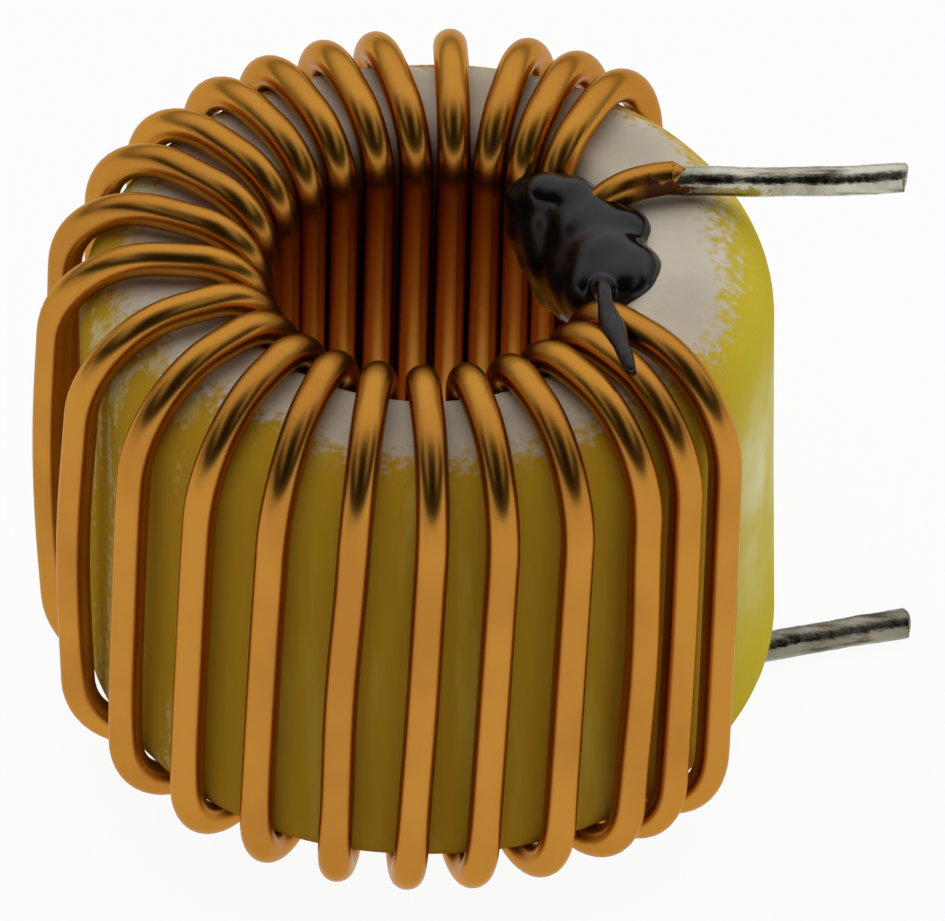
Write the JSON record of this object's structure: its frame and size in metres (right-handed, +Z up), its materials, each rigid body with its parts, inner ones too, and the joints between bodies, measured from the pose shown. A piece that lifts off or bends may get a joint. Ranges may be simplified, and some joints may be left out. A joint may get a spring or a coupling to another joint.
{
  "type": "toroidal inductor",
  "caption": "Ring-core inductor: enamelled copper wire wound through a painted ring core, with two tinned leads on one side for soldering and a dab of dark adhesive at the start lead.",
  "frame": {"origin": "on the ring's axis, in the plane that the lowest wires rest on", "axes": "+X the way the two leads leave, +Y across them, +Z up along the ring's axis"},
  "size_m": [0.0195, 0.0172, 0.0136],
  "materials": {
    "core_paint": "pale yellow paint, greyer on the flat faces",
    "enamelled_copper": "clear amber enamel over copper",
    "solder": "dull tinned copper",
    "black_adhesive": "glossy black"
  },
  "bodies": {
    "root": {"core": "core_paint", "winding": "enamelled_copper", "start_tinning": "solder", "finish_tinning": "solder", "adhesive": "black_adhesive"}
  },
  "joints": []
}
